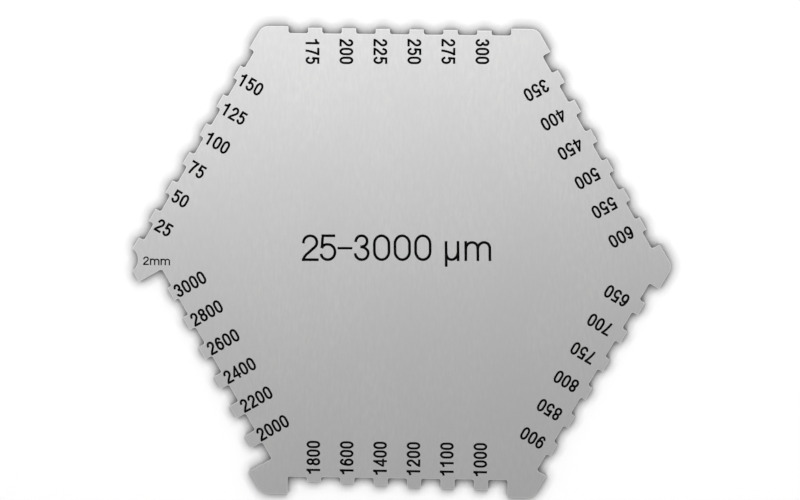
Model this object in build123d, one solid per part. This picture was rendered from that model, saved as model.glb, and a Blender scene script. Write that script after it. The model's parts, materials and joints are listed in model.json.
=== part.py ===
from build123d import *
import math
import os

# Wet film thickness gauge: one flat sheet of stainless steel with six toothed sides.
# Lengths are in millimetres. The sheet lies on its back, with the numbered face up, and the
# origin is the middle of the back face. +Y points to the side that reads 175 to 300.

# The sheet
THICKNESS = 1.0
EDGE_BREAK = 0.08
CORNER_RADIUS = 1.5

# One side, from corner to corner: a land, then notches and teeth by turns, then a land.
# Each notch's floor lies NOTCH_CLEARANCE below the tip of its side's shortest tooth.
LAND_WIDTH = 3.56
NOTCH_WIDTH = 2.69
TOOTH_WIDTH = 1.93
NOTCH_CLEARANCE = 0.65
FLOOR_RADIUS = 0.3
SHARP = 0

# How far each tooth stands back from its side's two lands, in micrometres. The sides go
# clockwise from the top one, and so do the teeth of a side.
READINGS = [
    range(175, 301, 25),
    range(350, 601, 50),
    range(650, 901, 50),
    [1000, 1100, 1200, 1400, 1600, 1800],
    range(2000, 3001, 200),
    range(25, 151, 25),
]
MICROMETRE = 0.001

# The round notch in the left corner, which is held against a rounded edge to compare them.
# Its depth is measured from where the two sides would meet in a sharp corner.
EDGE_GAUGE_RADIUS = 2.0
EDGE_GAUGE_DEPTH = 1.66

# The largest share of the shortest wall beside it that a rounding may take
WALL_SHARE = 0.48

# Worked out: one side's length between the sharp corners, and the distances from the middle
# of the sheet to a side and to a sharp corner
TEETH = len(READINGS[0])
SIDE = 2 * LAND_WIDTH + (TEETH + 1) * NOTCH_WIDTH + TEETH * TOOTH_WIDTH
SIDE_TURN = 360 / len(READINGS)
TO_SIDE = SIDE / 2 / math.tan(math.radians(SIDE_TURN / 2))
TO_CORNER = SIDE / 2 / math.sin(math.radians(SIDE_TURN / 2))


def rounding(radius, *walls):
    """The radius, or what the shortest of the walls beside it leaves room for."""
    return min(radius, WALL_SHARE * min(walls))


def side_corners(readings):
    """The corners of one side, each as (x, y, radius), from left to right with that side on
    top: the sheet's own corner on the left, and then all but the one on the right."""
    floor = TO_SIDE - max(readings) * MICROMETRE - NOTCH_CLEARANCE
    floor_radius = rounding(FLOOR_RADIUS, NOTCH_WIDTH, NOTCH_CLEARANCE)

    x = -SIDE / 2
    corners = [(x, TO_SIDE, rounding(CORNER_RADIUS, LAND_WIDTH))]
    x += LAND_WIDTH
    corners.append((x, TO_SIDE, SHARP))
    for reading in readings:
        tip = TO_SIDE - reading * MICROMETRE
        corners.append((x, floor, floor_radius))
        x += NOTCH_WIDTH
        corners.append((x, floor, floor_radius))
        corners.append((x, tip, SHARP))
        x += TOOTH_WIDTH
        corners.append((x, tip, SHARP))
    corners.append((x, floor, floor_radius))
    x += NOTCH_WIDTH
    corners.append((x, floor, floor_radius))
    corners.append((x, TO_SIDE, SHARP))
    return corners


def plate_outline():
    """The sheet's outline, seen from above its numbered face."""
    points = []
    radii = []
    for number, readings in enumerate(READINGS):
        for x, y, radius in side_corners(readings):
            points.append(Vector(x, y).rotate(Axis.Z, -number * SIDE_TURN))
            radii.append(radius)

    with BuildSketch() as outline:
        with BuildLine():
            FilletPolyline(*points, radius=radii, close=True)
        make_face()
        with Locations((EDGE_GAUGE_DEPTH - EDGE_GAUGE_RADIUS - TO_CORNER, 0)):
            Circle(EDGE_GAUGE_RADIUS, mode=Mode.SUBTRACT)
    return outline.sketch


def gauge_plate():
    """The sheet, cut to its outline, with the rims of both faces lightly broken."""
    plate = extrude(plate_outline(), amount=THICKNESS)
    faces = plate.faces().sort_by(Axis.Z)
    rims = faces[0].edges() + faces[-1].edges()
    return chamfer(rims, rounding(EDGE_BREAK, THICKNESS))


os.makedirs("parts", exist_ok=True)
plate = gauge_plate()
plate.label = "gauge_plate"
export_step(plate, "parts/gauge_plate.step")
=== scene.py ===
import json
import math

import bmesh
import bpy
from mathutils import Matrix, Vector

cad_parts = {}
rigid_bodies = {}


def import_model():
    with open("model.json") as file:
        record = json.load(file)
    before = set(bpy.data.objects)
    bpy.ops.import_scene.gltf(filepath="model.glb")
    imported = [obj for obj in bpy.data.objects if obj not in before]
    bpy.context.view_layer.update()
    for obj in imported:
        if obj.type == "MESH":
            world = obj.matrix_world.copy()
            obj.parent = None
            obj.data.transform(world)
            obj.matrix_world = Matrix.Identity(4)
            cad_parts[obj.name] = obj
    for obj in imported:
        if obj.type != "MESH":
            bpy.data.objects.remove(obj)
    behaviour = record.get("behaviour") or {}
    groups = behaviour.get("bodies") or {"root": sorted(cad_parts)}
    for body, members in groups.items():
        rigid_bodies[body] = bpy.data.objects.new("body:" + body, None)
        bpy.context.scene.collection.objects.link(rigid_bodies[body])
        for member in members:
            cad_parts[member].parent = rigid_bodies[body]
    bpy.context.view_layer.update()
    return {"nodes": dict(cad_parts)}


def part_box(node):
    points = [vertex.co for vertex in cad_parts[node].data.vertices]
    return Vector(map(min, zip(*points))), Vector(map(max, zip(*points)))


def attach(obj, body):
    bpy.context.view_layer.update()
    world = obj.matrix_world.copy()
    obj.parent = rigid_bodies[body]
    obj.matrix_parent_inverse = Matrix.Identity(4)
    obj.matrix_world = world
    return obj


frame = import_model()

MM = 0.001

# The sheet: one flat piece of stainless steel with a ground finish, its grain running straight
# from the bottom side to the top one. Its outline is blanked, so the cut walls show the upright
# marks of the tool, and their rims are broken and carry a painted highlight, a brighter colour.
STEEL = (0.72, 0.72, 0.71, 1)
STEEL_DULL = (0.655, 0.655, 0.66, 1)
# The rims' colour is a painted highlight: brighter than the face, to show a line of light.
RIM_PAINTED_HIGHLIGHT = (0.88, 0.88, 0.88, 1)
CUT_STEEL = (0.42, 0.42, 0.42, 1)
CUT_BRIGHT = (0.62, 0.62, 0.62, 1)
STEEL_ROUGHNESS = (0.33, 0.35)
CUT_ROUGHNESS = 0.65

# The steel's noises, each with its turns for each millimetre along X, Y and Z, and how much of
# their range and of the duller steel they bring in
GRAIN = (2.6, 0.6, 1.0)
MOTTLE = (1.4, 0.9, 1.4)
CLOUDS = (0.09, 0.06, 0.09)
CUT_MARKS = (7.0, 7.0, 0.4)
FINE_DETAIL = 4.0
PLAIN_DETAIL = 3.0
DETAIL_STRENGTH = 0.6
CLOUD_DETAIL_STRENGTH = 0.5
TONE_RANGE = (0.35, 0.65)
WIDE_RANGE = (0.3, 0.7)
GRAIN_SHARE = 0.85
MOTTLE_SHARE = 0.5
CLOUD_SHARE = 0.6
GRAIN_DEPTH = 0.0006 * MM
GRAIN_STRENGTH = 0.5

# The broken rim: how far it reaches from each face, how far from the face its painted highlight
# starts, and over how much of the wall it fades out
RIM = 0.09 * MM
RIM_EDGE = 0.003 * MM
WALL_FADE = 0.04 * MM

plate = frame["nodes"]["gauge_plate"]
plate_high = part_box("gauge_plate")[1]
TO_SIDE = plate_high.y
FACE = plate_high.z


def feed(owner, socket, value):
    """Gives a socket its value, which is another node's output or a constant. owner is the
    material or the world that the nodes are in."""
    if isinstance(value, bpy.types.NodeSocket):
        owner.node_tree.links.new(value, socket)
    else:
        socket.default_value = value


def set_inputs(owner, node, **inputs):
    """Gives a node its inputs by their names, with _ for a space."""
    for name, value in inputs.items():
        feed(owner, node.inputs[name.replace("_", " ")], value)


def add_node(owner, kind, **inputs):
    """A new node in a material or a world, with its inputs given by name."""
    node = owner.node_tree.nodes.new(kind)
    set_inputs(owner, node, **inputs)
    return node


def new_material(name):
    """A node material with nothing in it but its shader and its output."""
    material = bpy.data.materials.new(name)
    material.use_nodes = True
    return material, material.node_tree.nodes["Principled BSDF"]


def object_noise(material, scale, detail, detail_strength):
    """Noise on the piece's own coordinates, with scale as its turns for each millimetre."""
    place = add_node(material, "ShaderNodeTexCoord")
    stretch = add_node(material, "ShaderNodeMapping", Vector=place.outputs["Object"],
                       Scale=[turns / MM for turns in scale])
    noise = add_node(material, "ShaderNodeTexNoise", Vector=stretch.outputs["Vector"],
                     Scale=1.0, Detail=detail, Roughness=detail_strength)
    return noise.outputs["Fac"]


def spread(material, value, old_range, new_range):
    """Maps a value from one range to another, and holds it there."""
    node = add_node(material, "ShaderNodeMapRange", Value=value,
                    From_Min=old_range[0], From_Max=old_range[1],
                    To_Min=new_range[0], To_Max=new_range[1])
    return node.outputs["Result"]


def worked_out(material, operation, *values):
    """What a Math node makes of one or two values."""
    node = add_node(material, "ShaderNodeMath")
    node.operation = operation
    for socket, value in zip(node.inputs, values):
        feed(material, socket, value)
    return node.outputs["Value"]


def blend(material, share, first, second, kind="RGBA"):
    """A mix of two colours, or of two directions, by a share that may differ from place to place.
    A Mix node has two inputs and an output for each kind of value."""
    first_input, second_input, output = {"RGBA": (6, 7, 2), "VECTOR": (4, 5, 1)}[kind]
    mix = add_node(material, "ShaderNodeMix")
    mix.data_type = kind
    feed(material, mix.inputs[0], share)
    feed(material, mix.inputs[first_input], first)
    feed(material, mix.inputs[second_input], second)
    return mix.outputs[output]


steel, steel_shader = new_material("ground_stainless_steel")
grain = object_noise(steel, GRAIN, FINE_DETAIL, DETAIL_STRENGTH)
mottle = object_noise(steel, MOTTLE, PLAIN_DETAIL, DETAIL_STRENGTH)
clouds = object_noise(steel, CLOUDS, PLAIN_DETAIL, CLOUD_DETAIL_STRENGTH)
cut_marks = object_noise(steel, CUT_MARKS, PLAIN_DETAIL, DETAIL_STRENGTH)
face_colour = STEEL
for noise, share in ((clouds, CLOUD_SHARE), (mottle, MOTTLE_SHARE), (grain, GRAIN_SHARE)):
    dull_share = spread(steel, noise, TONE_RANGE, (0.0, share))
    face_colour = blend(steel, dull_share, face_colour, STEEL_DULL)

# The face, the rims and the cut wall are told apart by how far a point is from mid-thickness
place = add_node(steel, "ShaderNodeTexCoord")
axes = add_node(steel, "ShaderNodeSeparateXYZ", Vector=place.outputs["Object"])
above_middle = worked_out(steel, "SUBTRACT", axes.outputs["Z"], FACE / 2)
off_middle = worked_out(steel, "ABSOLUTE", above_middle)
wall_end = FACE / 2 - RIM
on_wall = spread(steel, off_middle, (wall_end - WALL_FADE, wall_end), (1.0, 0.0))
rim_end = FACE / 2 - RIM_EDGE
off_face = spread(steel, off_middle, (rim_end - RIM_EDGE, rim_end), (1.0, 0.0))
on_rim = worked_out(steel, "SUBTRACT", off_face, on_wall)

# Painted highlight: the rims take the brighter rim colour in place of the face's.
face_with_painted_rim_highlight = blend(steel, on_rim, face_colour, RIM_PAINTED_HIGHLIGHT)
bright_share = spread(steel, cut_marks, WIDE_RANGE, (0.0, 1.0))
cut_colour = blend(steel, bright_share, CUT_STEEL, CUT_BRIGHT)
face_roughness = spread(steel, grain, WIDE_RANGE, STEEL_ROUGHNESS)
wall_roughness = spread(steel, on_wall, (0.0, 1.0), (0.0, CUT_ROUGHNESS))

# The upper rim is shaded as flat as the face, and the face has the fine relief of its grain
grain_relief = add_node(steel, "ShaderNodeBump", Strength=GRAIN_STRENGTH, Distance=GRAIN_DEPTH,
                        Height=grain)
on_upper_half = spread(steel, above_middle, (0.0, RIM_EDGE), (0.0, 1.0))
on_upper_rim = worked_out(steel, "MINIMUM", on_rim, on_upper_half)
facing = blend(steel, on_upper_rim, grain_relief.outputs["Normal"], (0, 0, 1), "VECTOR")

set_inputs(steel, steel_shader, Base_Color=blend(steel, on_wall, face_with_painted_rim_highlight, cut_colour),
           Roughness=worked_out(steel, "MAXIMUM", face_roughness, wall_roughness),
           Metallic=1.0, Normal=facing)
plate.data.materials.clear()
plate.data.materials.append(steel)

# The tooth numbers: black ink, screen printed on the face behind each tooth. Each number is what
# its tooth reads, in micrometres, and is turned to be read with its side held upright on the left.
# The sizes of all the print are in plain millimetres.
INK = (0.001, 0.001, 0.001, 1)
INK_THIN = (0.004, 0.004, 0.004, 1)
INK_ROUGHNESS = 0.6
INK_SHINE = 0.03
INK_HEIGHT = 0.012
INK_SINK = 0.004
INK_SPECKS = (3.0, 3.0, 3.0)
SPECK_RANGE = (0.45, 0.75)
CURVE_STEPS = 6
DIGIT_WIDTH = 1.04
DIGIT_HEIGHT = 1.90
DIGIT_LINE = 0.31
DIGIT_GAP = 0.17
LINE_SHARES = {"4": 0.88, "–": 0.92}
SIDE_TURN = math.radians(60)
ALONG_TOOTH = math.radians(-90)

ink, ink_shader = new_material("black_printing_ink")
specks = object_noise(ink, INK_SPECKS, FINE_DETAIL, DETAIL_STRENGTH)
ink_colour = blend(ink, spread(ink, specks, SPECK_RANGE, (0.0, 1.0)), INK, INK_THIN)
set_inputs(ink, ink_shader, Base_Color=ink_colour, Roughness=INK_ROUGHNESS,
           Specular_IOR_Level=INK_SHINE)


def turned(strokes):
    """Strokes turned half round in their box."""
    return [[(1 - node[0], 1 - node[1], *(-part for part in node[2:])) for node in stroke]
            for stroke in strokes]


def strokes_of(character, x, y):
    """The pen strokes of a character, in a box from 0 to 1 each way. A node is a point, with the
    direction and reach of its curve where it isn't a corner. x and y are half a line's width in
    that box, so that a stroke can end flush with the edge of the character."""
    six = [
        [(0.5, 0.63, 0.28, 0), (1, 0.315, 0, -0.18), (0.5, 0, -0.28, 0), (0, 0.315, 0, 0.18),
         (0.5, 0.63, 0.28, 0)],
        [(0, 0.315, 0, 0.48), (0.54, 1, 0.25, 0), (0.97, 0.77, 0.02, -0.12)],
    ]
    return {
        "0": [[(0.5, 1, 0.28, 0), (1, 0.67, 0, -0.17), (1, 0.33, 0, -0.17), (0.5, 0, -0.28, 0),
               (0, 0.33, 0, 0.17), (0, 0.67, 0, 0.17), (0.5, 1, 0.28, 0)]],
        "1": [[(0.58, -y), (0.58, 1 + y)],
              [(0.02 - x, 0.77, 0.35, 0), (0.55, 1, 0.03, 0.13)]],
        "2": [[(0.02, 0.68, 0, 0.18), (0.5, 1, 0.28, 0), (0.98, 0.72, 0, -0.17),
               (0.5, 0.36, -0.22, -0.13), (0.02, -y / 2, -0.02, -0.2)],
              [(-x, 0), (1 + x, 0)]],
        "3": [[(0.05, 0.74, 0, 0.15), (0.5, 1, 0.26, 0), (0.92, 0.765, 0, -0.14),
               (0.4, 0.535, -0.3, 0)],
              [(0.4, 0.535, 0.32, 0), (1, 0.275, 0, -0.15), (0.5, 0, -0.29, 0),
               (0, 0.27, 0, 0.13)]],
        "4": [[(0.78, -y), (0.78, 1 + y)],
              [(0.76, 0.98), (-0.1, 0.27)],
              [(-0.06 - x, 0.24), (1.06 + x, 0.24)]],
        "5": [[(0.12, 1), (0.93 + x, 1)],
              [(0.15, 1 + y), (0.06, 0.48)],
              [(0.05, 0.48, 0.12, 0.12), (0.5, 0.64, 0.26, 0), (1, 0.33, 0, -0.18),
               (0.49, 0, -0.28, 0), (0, 0.25, -0.01, 0.13)]],
        "6": six,
        "7": [[(-x, 1), (1 + x, 1)],
              [(1.02, 1, -0.3, -0.2), (0.33, -y, -0.02, -0.3)]],
        "8": [[(0.5, 1, 0.26, 0), (0.94, 0.77, 0, -0.13), (0.5, 0.54, -0.26, 0),
               (0.06, 0.77, 0, 0.13), (0.5, 1, 0.26, 0)],
              [(0.5, 0.54, 0.29, 0), (1, 0.27, 0, -0.15), (0.5, 0, -0.29, 0), (0, 0.27, 0, 0.15),
               (0.5, 0.54, 0.29, 0)]],
        "9": turned(six),
        "–": [[(-x, 0.48), (1 + x, 0.48)]],
        "µ": [[(0, 0.72 + y), (0, -0.3)],
              [(0, 0.3, 0, -0.17), (0.46, 0, 0.3, 0), (1, 0.34, 0, 0.17)],
              [(1, 0.72 + y), (1, -y)]],
        "m": [[(0, 0.72 + y), (0, -y)],
              [(0, 0.45, 0, 0.15), (0.26, 0.72, 0.14, 0), (0.5, 0.47, 0, -0.15), (0.5, -y)],
              [(0.5, 0.45, 0, 0.15), (0.76, 0.72, 0.14, 0), (1, 0.47, 0, -0.15), (1, -y)]],
    }[character]


def solid_line(nodes, at, line):
    """One stroke as an object: its curve stood up as a wall, and the wall made as thick as the
    printed line is wide. at gives a node's place in millimetres."""
    curve = bpy.data.curves.new("stroke", "CURVE")
    curve.dimensions = "3D"
    curve.extrude = INK_HEIGHT / 2
    curve.resolution_u = CURVE_STEPS
    closed = nodes[0] == nodes[-1]
    spline = curve.splines.new("BEZIER")
    spline.use_cyclic_u = closed
    nodes = nodes[:-1] if closed else nodes
    spline.bezier_points.add(len(nodes) - 1)
    for point, node in zip(spline.bezier_points, nodes):
        x, y, reach_x, reach_y = (*node, 0, 0)[:4]
        point.handle_left_type = point.handle_right_type = "FREE"
        point.co = at(x, y)
        point.handle_left = at(x - reach_x, y - reach_y)
        point.handle_right = at(x + reach_x, y + reach_y)
    drawn = bpy.data.objects.new("stroke", curve)
    wall = bpy.data.objects.new("stroke_wall", bpy.data.meshes.new_from_object(drawn))
    bpy.context.scene.collection.objects.link(wall)
    thicken = wall.modifiers.new("line_width", "SOLIDIFY")
    thicken.thickness = line
    thicken.offset = 0
    thicken.use_even_offset = True
    bpy.data.objects.remove(drawn)
    return wall


def character_mesh(character, width, height, line):
    """A character as one flat solid, in millimetres, with the corner of its box at the origin."""
    half = line / 2

    def at(x, y):
        return (half + x * (width - line), half + y * (height - line), 0)

    walls = [solid_line(nodes, at, line)
             for nodes in strokes_of(character, half / (width - line), half / (height - line))]
    others = bpy.data.collections.new("strokes_to_join")
    for wall in walls[1:]:
        others.objects.link(wall)
    if others.objects:
        join = walls[0].modifiers.new("join", "BOOLEAN")
        join.operation = "UNION"
        join.operand_type = "COLLECTION"
        join.collection = others
        join.solver = "EXACT"
    bpy.context.view_layer.update()
    depsgraph = bpy.context.evaluated_depsgraph_get()
    mesh = bpy.data.meshes.new_from_object(walls[0].evaluated_get(depsgraph))
    for wall in walls:
        bpy.data.objects.remove(wall)
    bpy.data.collections.remove(others)
    return mesh


def print_words(name, words, width, height, line, gap, width_shares=None):
    """Prints words on the face as one piece. Each word comes with the matrix that places it: its
    own origin is the middle of its left edge, in millimetres. width_shares makes some characters
    wider or narrower than the rest."""
    width_shares = width_shares or {}
    meshes = {}
    marks = bmesh.new()
    for word, place in words:
        pen = 0
        for character in word:
            wide = width * width_shares.get(character, 1)
            if character not in meshes:
                fine = line * LINE_SHARES.get(character, 1)
                meshes[character] = character_mesh(character, wide, height, fine)
            first = len(marks.verts)
            marks.from_mesh(meshes[character])
            marks.verts.ensure_lookup_table()
            bmesh.ops.transform(marks, verts=marks.verts[first:],
                                matrix=place @ Matrix.Translation((pen, -height / 2, 0)))
            pen += wide + gap
    lift = FACE / MM + INK_HEIGHT / 2 - INK_SINK
    bmesh.ops.transform(marks, verts=marks.verts,
                        matrix=Matrix.Scale(MM, 4) @ Matrix.Translation((0, 0, lift)))
    mesh = bpy.data.meshes.new(name)
    marks.to_mesh(mesh)
    marks.free()
    piece = bpy.data.objects.new(name, mesh)
    bpy.context.scene.collection.objects.link(piece)
    mesh.materials.append(ink)
    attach(piece, "root")


# For each side, clockwise from the top: its readings, how far apart the numbers are, how far in
# from the side they start, how far they stand off the middles of their teeth, and how much nearer
# the side each next one is.
ROWS = [
    (range(175, 301, 25), 4.64, 1.56, -0.30, 0.055),
    (range(350, 601, 50), 4.65, 2.44, 0.09, 0.035),
    (range(650, 901, 50), 4.59, 2.68, 0.06, 0.035),
    ([1000, 1100, 1200, 1400, 1600, 1800], 4.61, 2.90, 0.10, 0.01),
    (range(2000, 3001, 200), 4.59, 3.63, 0.01, -0.01),
    (range(25, 151, 25), 4.65, 1.06, -0.64, 0.045),
]
for side, (readings, pitch, inset, aside, step) in enumerate(ROWS):
    words = []
    for number, reading in enumerate(readings):
        from_middle = number - (len(readings) - 1) / 2
        start = (from_middle * pitch + aside, TO_SIDE / MM - inset + from_middle * step, 0)
        words.append((str(reading), Matrix.Rotation(-SIDE_TURN * side, 4, "Z")
                      @ Matrix.Translation(start) @ Matrix.Rotation(ALONG_TOOTH, 4, "Z")))
    print_words(f"numbers_{readings[0]}_to_{readings[-1]}", words,
                DIGIT_WIDTH, DIGIT_HEIGHT, DIGIT_LINE, DIGIT_GAP)

# The range line: what the whole gauge reads, in the same ink but larger and in thinner lines. Its
# characters stand close together, and the line runs a little off square, as printed.
RANGE_WIDTH = 2.37
RANGE_HEIGHT = 3.70
RANGE_LINE = 0.375
RANGE_WIDTH_SHARES = {"2": 0.98, "5": 0.97, "3": 0.92, "–": 0.86, "µ": 0.85, "m": 1.55}
RANGE_MIDDLE = (-0.3, 2.15, 0)
RANGE_TURN = math.radians(0.8)
RANGE_STARTS = [("2", 0.0), ("5", 2.46), ("–", 4.92), ("3", 7.15), ("0", 9.80), ("0", 12.63),
                ("0", 15.46), ("µ", 19.64), ("m", 22.34)]

last, last_start = RANGE_STARTS[-1]
range_length = last_start + RANGE_WIDTH * RANGE_WIDTH_SHARES[last]
middle = Matrix.Translation(RANGE_MIDDLE) @ Matrix.Rotation(RANGE_TURN, 4, "Z")
print_words("range_line",
            [(character, middle @ Matrix.Translation((start - range_length / 2, 0, 0)))
             for character, start in RANGE_STARTS],
            RANGE_WIDTH, RANGE_HEIGHT, RANGE_LINE, 0, RANGE_WIDTH_SHARES)

# The edge mark: the radius of the round notch beside it. It is printed with the rest, in small
# characters with fine lines.
EDGE_WIDTH = 0.80
EDGE_HEIGHT = 1.20
EDGE_LINE = 0.185
EDGE_GAP = 0.14
EDGE_WIDTH_SHARES = {"m": 1.65}
EDGE_MARK = (-35.16, -0.13, 0)
print_words("edge_radius_mark", [("2mm", Matrix.Translation(EDGE_MARK))],
            EDGE_WIDTH, EDGE_HEIGHT, EDGE_LINE, EDGE_GAP, EDGE_WIDTH_SHARES)

# The floor: a plain white sheet that the gauge lies on. Its colour carries a painted shadow: it
# darkens close to the gauge's edges, where an ambient occlusion node finds the gauge.
FLOOR_SIZE = 6.0
FLOOR_DROP = 0.02 * MM
FLOOR_WHITE = (0.97, 0.97, 0.97, 1)
FLOOR_PAINTED_SHADOW = (0.0, 0.0, 0.0, 1)
FLOOR_ROUGHNESS = 0.8
# The painted shadow: how far from the gauge it reaches, how steeply it deepens, and its rays
CONTACT_REACH = 1.6 * MM
CONTACT_DEPTH = 1.3
CONTACT_SAMPLES = 8

floor_shape = bmesh.new()
bmesh.ops.create_grid(floor_shape, x_segments=1, y_segments=1, size=FLOOR_SIZE / 2,
                      matrix=Matrix.Translation((0, 0, -FLOOR_DROP)))
floor_mesh = bpy.data.meshes.new("floor")
floor_shape.to_mesh(floor_mesh)
floor_shape.free()
floor = bpy.data.objects.new("floor", floor_mesh)
bpy.context.scene.collection.objects.link(floor)
floor_material, floor_shader = new_material("white_floor_with_painted_shadow")
# Painted shadow: the floor's colour is blended towards black where the gauge is close by.
painted_shadow_occlusion = add_node(floor_material, "ShaderNodeAmbientOcclusion", Distance=CONTACT_REACH)
painted_shadow_occlusion.samples = CONTACT_SAMPLES
openness = worked_out(floor_material, "POWER", painted_shadow_occlusion.outputs["AO"], CONTACT_DEPTH)
floor_colour_with_painted_shadow = blend(floor_material, openness, FLOOR_PAINTED_SHADOW, FLOOR_WHITE)
set_inputs(floor_material, floor_shader, Base_Color=floor_colour_with_painted_shadow, Roughness=FLOOR_ROUGHNESS,
           Specular_IOR_Level=0.0)
floor_mesh.materials.append(floor_material)

# The room: pale walls that the steel mirrors, and a darker ceiling, with a soft lamp over the top
# side and a window behind that. ROOM says how bright it is at five heights, each given as the sine
# of its angle above the floor.
ROOM = [(0.0, 1.0), (0.4, 1.0), (0.7, 0.58), (0.9, 0.47), (1.0, 0.22)]
LAMP_SIZE = 0.30
LAMP_PLACE = Vector((-0.026, 0.12, 0.32))
LAMP_POWER = 0.43
WINDOW_SIZE = 0.50
WINDOW_PLACE = Vector((0.20, 0.60, 0.50))
WINDOW_POWER = 1.72

world = bpy.data.worlds.new("pale_room")
bpy.context.scene.world = world
world.use_nodes = True
background = world.node_tree.nodes["Background"]
direction = add_node(world, "ShaderNodeTexCoord")
rise = add_node(world, "ShaderNodeSeparateXYZ", Vector=direction.outputs["Generated"])
level = add_node(world, "ShaderNodeValToRGB", Fac=rise.outputs["Z"])
stops = level.color_ramp.elements
for height, brightness in ROOM[1:-1]:
    stops.new(height)
for stop, (height, brightness) in zip(stops, ROOM):
    stop.position = height
    stop.color = (brightness, brightness, brightness, 1)
set_inputs(world, background, Color=level.outputs["Color"])


def soft_lamp(name, size, place, power):
    """A square lamp of even light, aimed at the middle of the sheet."""
    data = bpy.data.lights.new(name, "AREA")
    data.shape = "SQUARE"
    data.size = size
    data.energy = power
    lamp = bpy.data.objects.new(name, data)
    lamp.location = place
    lamp.rotation_mode = "QUATERNION"
    lamp.rotation_quaternion = (-place).to_track_quat("-Z", "Y")
    bpy.context.scene.collection.objects.link(lamp)
    return lamp


soft_lamp("soft_lamp", LAMP_SIZE, LAMP_PLACE, LAMP_POWER)
window = soft_lamp("window", WINDOW_SIZE, WINDOW_PLACE, WINDOW_POWER)
window.visible_glossy = False

# The camera: a long lens, looking down from above the top side, as the photograph does. Its place
# and lens are fitted to the outline that the photograph shows.
CAMERA_AIM = Vector((0.20, 1.84, 1.0)) * MM
CAMERA_DISTANCE = 754.2 * MM
CAMERA_LEAN = math.radians(9.38)
CAMERA_HEADING = math.radians(70.8)
CAMERA_ROLL = math.radians(0.30)
SENSOR_WIDTH = 36.0
LENS = 247.6

back = Vector((math.sin(CAMERA_LEAN) * math.cos(CAMERA_HEADING),
               math.sin(CAMERA_LEAN) * math.sin(CAMERA_HEADING),
               math.cos(CAMERA_LEAN)))
right = Vector((0, 1, 0)).cross(back).normalized()
up = back.cross(right)
camera_data = bpy.data.cameras.new("camera")
camera_data.sensor_width = SENSOR_WIDTH
camera_data.lens = LENS
camera = bpy.data.objects.new("camera", camera_data)
upright = Matrix((right, up, back)).transposed().to_4x4()
camera.matrix_world = (Matrix.Translation(CAMERA_AIM + back * CAMERA_DISTANCE) @ upright
                       @ Matrix.Rotation(CAMERA_ROLL, 4, "Z"))
bpy.context.scene.collection.objects.link(camera)
bpy.context.scene.camera = camera
bpy.context.scene.view_settings.view_transform = "Standard"
